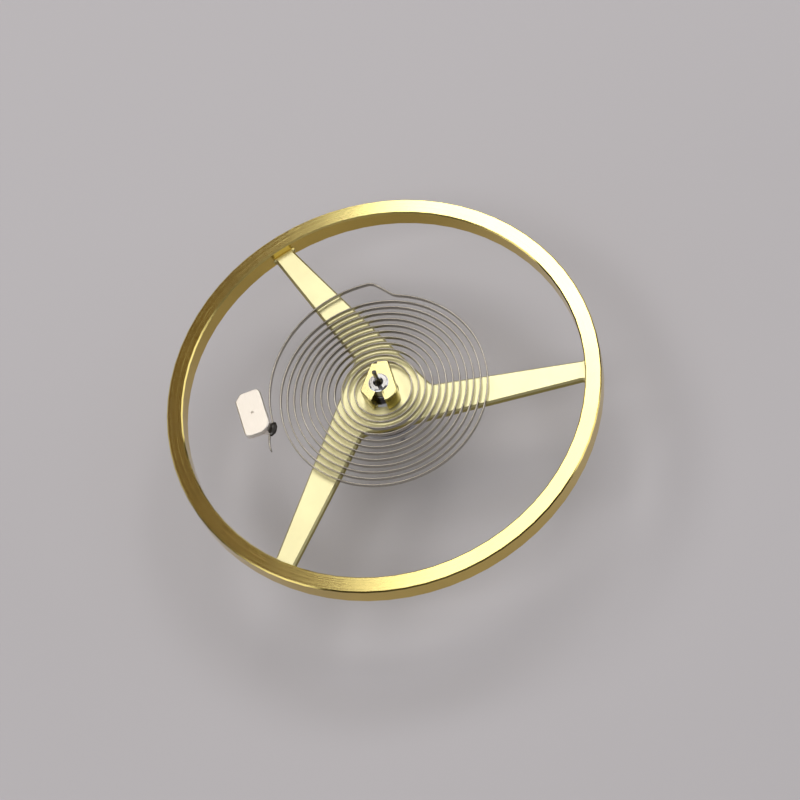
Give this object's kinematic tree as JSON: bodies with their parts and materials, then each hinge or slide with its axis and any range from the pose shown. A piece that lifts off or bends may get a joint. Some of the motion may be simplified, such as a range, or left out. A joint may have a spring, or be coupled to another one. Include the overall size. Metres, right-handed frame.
{
  "type": "watch balance wheel",
  "caption": "Watch balance with swirled arms on a pivoted staff, roller with impulse jewel, split collet, flat spiral hairspring and stud.",
  "frame": {"origin": "tip of the lower pivot, on the staff's axis", "axes": "+Z along the staff, from the roller towards the hairspring; +X along the middle of one arm, as near as its swirl allows"},
  "size_m": [0.0096, 0.0096, 0.0033],
  "materials": {
    "gilt_brass": "gilded, rim turned bright and arms satin",
    "polished_steel": "polished",
    "roller_steel": "polished",
    "ruby": "polished ruby",
    "shellac": "melted shellac",
    "collet_brass": "gilded and polished",
    "spring_alloy": "drawn strip, smooth",
    "nickel_silver": "satin nickel plate",
    "dark_cement": "hardened cement"
  },
  "bodies": {
    "stud_side": {"stud": "nickel_silver", "stud_cement": "dark_cement", "hairspring": "spring_alloy"},
    "balance": {"balance_wheel": "gilt_brass", "balance_staff": "polished_steel", "double_roller": "roller_steel", "impulse_jewel": "ruby", "jewel_shellac": "shellac", "collet": "collet_brass"}
  },
  "joints": [
    {"name": "balance_swing", "type": "hinge", "parent": "stud_side", "child": "balance", "pos_m": [0, 0, 0], "axis": [0, 0, 1], "range_deg": [-320, 320], "stiffness_Nm_per_rad": 0.0000005, "deforming": ["hairspring"]}
  ]
}
